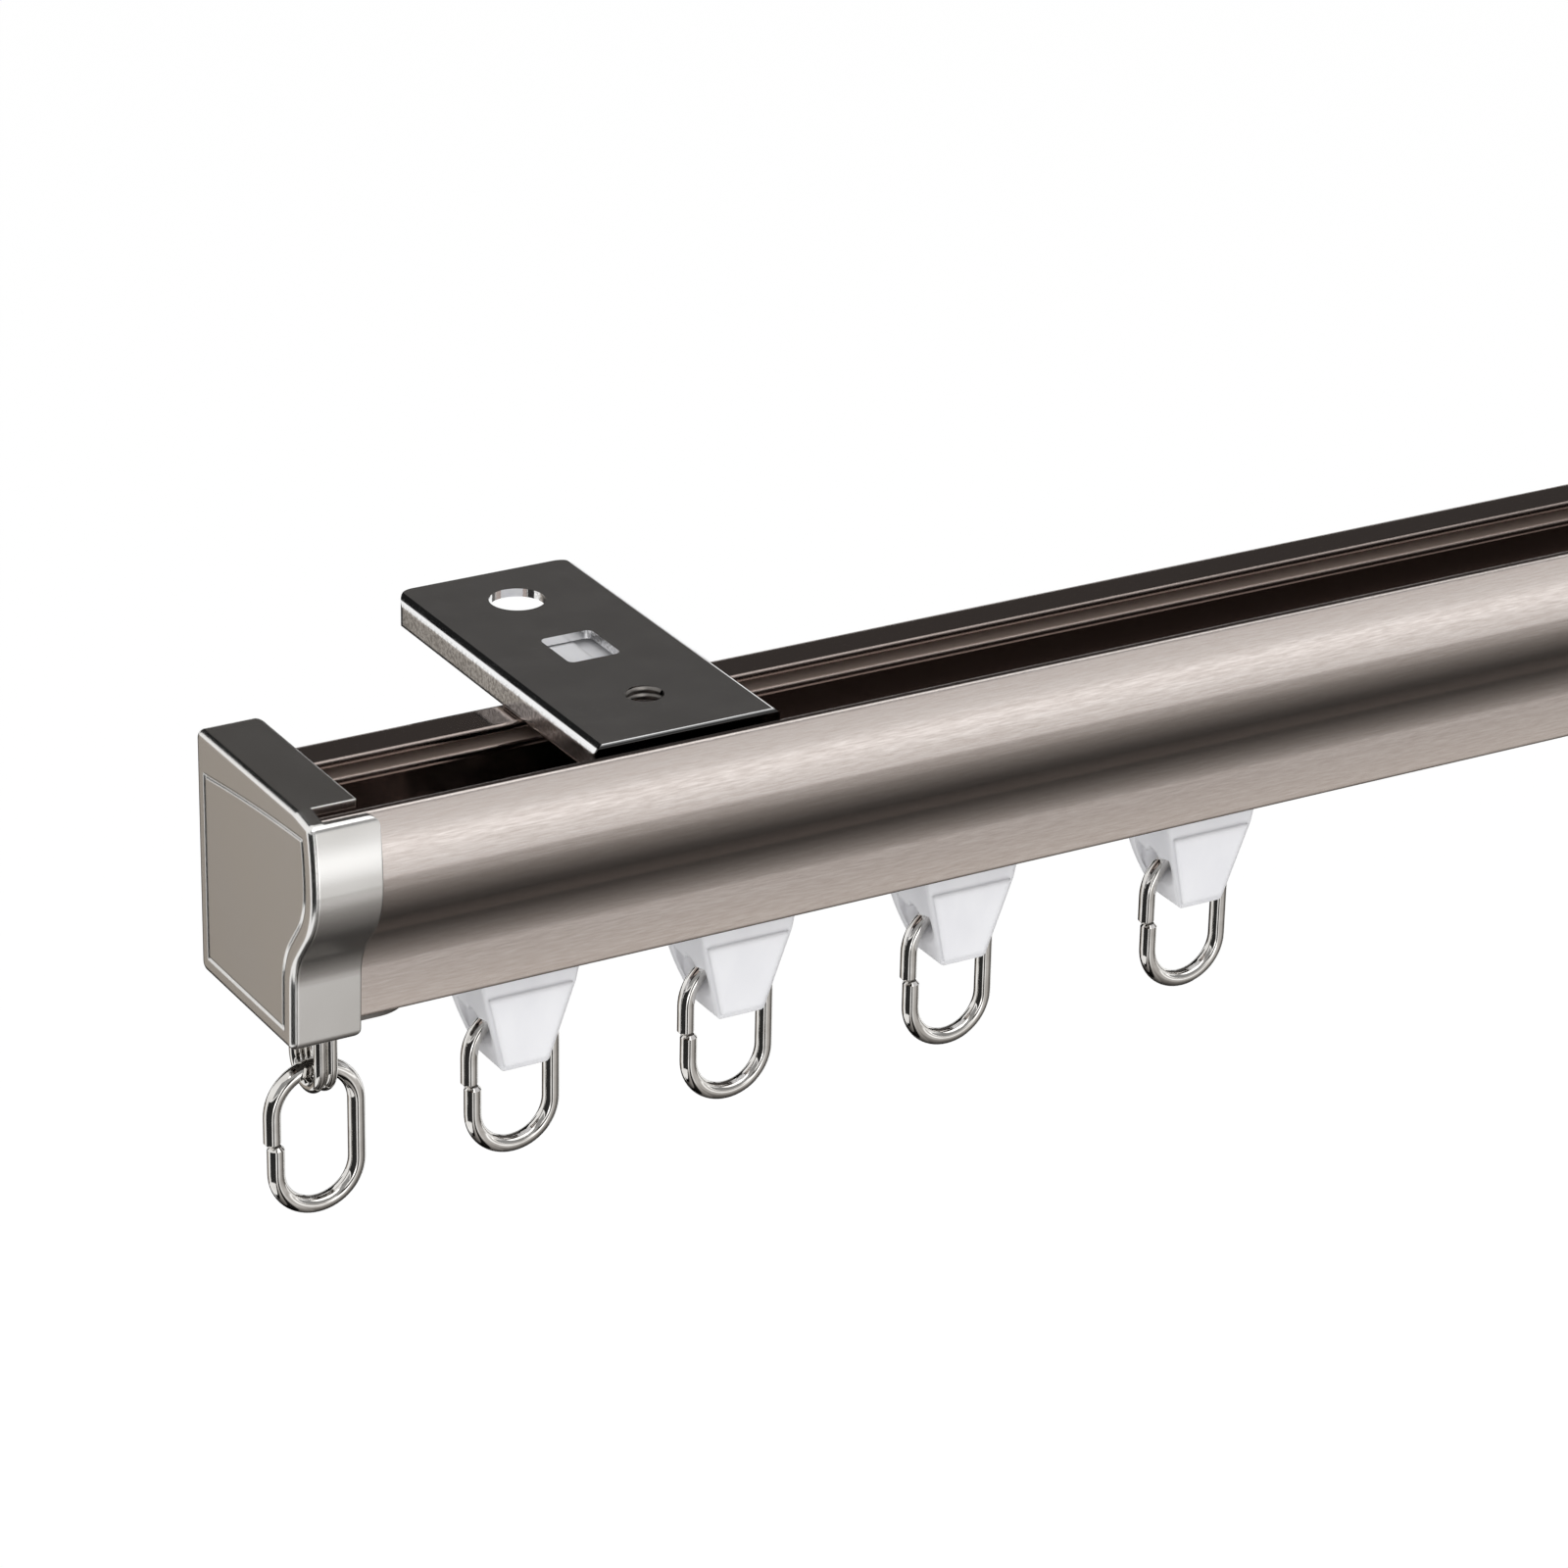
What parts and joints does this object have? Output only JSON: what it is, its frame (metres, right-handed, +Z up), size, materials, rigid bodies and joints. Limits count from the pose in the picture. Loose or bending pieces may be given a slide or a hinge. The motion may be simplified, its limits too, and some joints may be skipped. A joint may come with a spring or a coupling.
{
  "type": "curtain track",
  "caption": "Short ceiling curtain track: a rail with moulded end caps, click-in brackets, wheeled runners and fixed end eyes, each with a hanging wire ring.",
  "frame": {"origin": "on the ceiling plane, midway between the two brackets' ceiling screw holes", "axes": "+X along the track to the right as seen from the room, +Y towards the window, +Z up"},
  "size_m": [0.6, 0.0543, 0.0565],
  "materials": {
    "anodised_rail": "brushed brown-grey anodising",
    "satin_cap": "satin champagne plating",
    "dark_steel": "dark zinc",
    "polished_nickel": "polished",
    "dark_nylon": "matte",
    "black_nickel": "polished black nickel",
    "white_acetal": "milky, slightly glossy",
    "wheel_acetal": "milky",
    "axle_steel": "bright"
  },
  "bodies": {
    "track": {"rail": "anodised_rail", "left_end_cap": "satin_cap", "left_clamp_plate": "dark_steel", "left_stop_eye": "polished_nickel", "left_stop_block": "dark_nylon", "left_stop_screw": "dark_steel", "left_bracket_plate": "black_nickel", "right_end_cap": "satin_cap", "right_clamp_plate": "dark_steel", "right_stop_eye": "polished_nickel", "right_stop_block": "dark_nylon", "right_stop_screw": "dark_steel", "right_bracket_plate": "black_nickel"},
    "left_end_ring": {"left_end_ring": "polished_nickel"},
    "left_slider": {"left_bracket_slider": "white_acetal"},
    "right_end_ring": {"right_end_ring": "polished_nickel"},
    "right_slider": {"right_bracket_slider": "white_acetal"},
    "runner_1": {"runner_1_body": "white_acetal", "runner_1_axle": "axle_steel"},
    "runner_1_ring": {"runner_1_ring": "polished_nickel"},
    "runner_1_front_wheel": {"runner_1_front_wheel": "wheel_acetal"},
    "runner_1_back_wheel": {"runner_1_back_wheel": "wheel_acetal"},
    "runner_2": {"runner_2_body": "white_acetal", "runner_2_axle": "axle_steel"},
    "runner_2_ring": {"runner_2_ring": "polished_nickel"},
    "runner_2_front_wheel": {"runner_2_front_wheel": "wheel_acetal"},
    "runner_2_back_wheel": {"runner_2_back_wheel": "wheel_acetal"},
    "runner_3": {"runner_3_body": "white_acetal", "runner_3_axle": "axle_steel"},
    "runner_3_ring": {"runner_3_ring": "polished_nickel"},
    "runner_3_front_wheel": {"runner_3_front_wheel": "wheel_acetal"},
    "runner_3_back_wheel": {"runner_3_back_wheel": "wheel_acetal"},
    "runner_4": {"runner_4_body": "white_acetal", "runner_4_axle": "axle_steel"},
    "runner_4_ring": {"runner_4_ring": "polished_nickel"},
    "runner_4_front_wheel": {"runner_4_front_wheel": "wheel_acetal"},
    "runner_4_back_wheel": {"runner_4_back_wheel": "wheel_acetal"}
  },
  "joints": [
    {"name": "left_end_ring_swing", "type": "hinge", "parent": "track", "child": "left_end_ring", "pos_m": [-0.2921, -0.0281, -0.0382], "axis": [1, 0, 0], "range_deg": [-80, 80]},
    {"name": "left_slider_release", "type": "slide", "parent": "track", "child": "left_slider", "axis": [0, -1, 0], "range_m": [0, 0.003], "stiffness_N_per_m": 600, "springref_m": -0.001},
    {"name": "right_end_ring_swing", "type": "hinge", "parent": "track", "child": "right_end_ring", "pos_m": [0.2921, -0.0281, -0.0382], "axis": [1, 0, 0], "range_deg": [-80, 80]},
    {"name": "right_slider_release", "type": "slide", "parent": "track", "child": "right_slider", "axis": [0, -1, 0], "range_m": [0, 0.003], "stiffness_N_per_m": 600, "springref_m": -0.001},
    {"name": "runner_1_slide", "type": "slide", "parent": "track", "child": "runner_1", "axis": [1, 0, 0], "range_m": [-0.005, 0.0143]},
    {"name": "runner_1_ring_swing", "type": "hinge", "parent": "runner_1", "child": "runner_1_ring", "pos_m": [-0.2675, -0.0281, -0.0366], "axis": [1, 0, 0], "range_deg": [-45, 45]},
    {"name": "runner_1_front_wheel_turn", "type": "hinge", "parent": "runner_1", "child": "runner_1_front_wheel", "pos_m": [-0.2675, -0.0281, -0.02235], "axis": [0, 1, 0], "continuous": true},
    {"name": "runner_1_back_wheel_turn", "type": "hinge", "parent": "runner_1", "child": "runner_1_back_wheel", "pos_m": [-0.2675, -0.0281, -0.02235], "axis": [0, 1, 0], "continuous": true},
    {"name": "runner_2_slide", "type": "slide", "parent": "track", "child": "runner_2", "axis": [1, 0, 0], "range_m": [-0.0143, 0.0163]},
    {"name": "runner_2_ring_swing", "type": "hinge", "parent": "runner_2", "child": "runner_2_ring", "pos_m": [-0.2395, -0.0281, -0.0366], "axis": [1, 0, 0], "range_deg": [-45, 45]},
    {"name": "runner_2_front_wheel_turn", "type": "hinge", "parent": "runner_2", "child": "runner_2_front_wheel", "pos_m": [-0.2395, -0.0281, -0.02235], "axis": [0, 1, 0], "continuous": true},
    {"name": "runner_2_back_wheel_turn", "type": "hinge", "parent": "runner_2", "child": "runner_2_back_wheel", "pos_m": [-0.2395, -0.0281, -0.02235], "axis": [0, 1, 0], "continuous": true},
    {"name": "runner_3_slide", "type": "slide", "parent": "track", "child": "runner_3", "axis": [1, 0, 0], "range_m": [-0.0163, 0.0198]},
    {"name": "runner_3_ring_swing", "type": "hinge", "parent": "runner_3", "child": "runner_3_ring", "pos_m": [-0.2095, -0.0281, -0.0366], "axis": [1, 0, 0], "range_deg": [-45, 45]},
    {"name": "runner_3_front_wheel_turn", "type": "hinge", "parent": "runner_3", "child": "runner_3_front_wheel", "pos_m": [-0.2095, -0.0281, -0.02235], "axis": [0, 1, 0], "continuous": true},
    {"name": "runner_3_back_wheel_turn", "type": "hinge", "parent": "runner_3", "child": "runner_3_back_wheel", "pos_m": [-0.2095, -0.0281, -0.02235], "axis": [0, 1, 0], "continuous": true},
    {"name": "runner_4_slide", "type": "slide", "parent": "track", "child": "runner_4", "axis": [1, 0, 0], "range_m": [-0.0198, 0.4485]},
    {"name": "runner_4_ring_swing", "type": "hinge", "parent": "runner_4", "child": "runner_4_ring", "pos_m": [-0.176, -0.0281, -0.0366], "axis": [1, 0, 0], "range_deg": [-45, 45]},
    {"name": "runner_4_front_wheel_turn", "type": "hinge", "parent": "runner_4", "child": "runner_4_front_wheel", "pos_m": [-0.176, -0.0281, -0.02235], "axis": [0, 1, 0], "continuous": true},
    {"name": "runner_4_back_wheel_turn", "type": "hinge", "parent": "runner_4", "child": "runner_4_back_wheel", "pos_m": [-0.176, -0.0281, -0.02235], "axis": [0, 1, 0], "continuous": true}
  ]
}
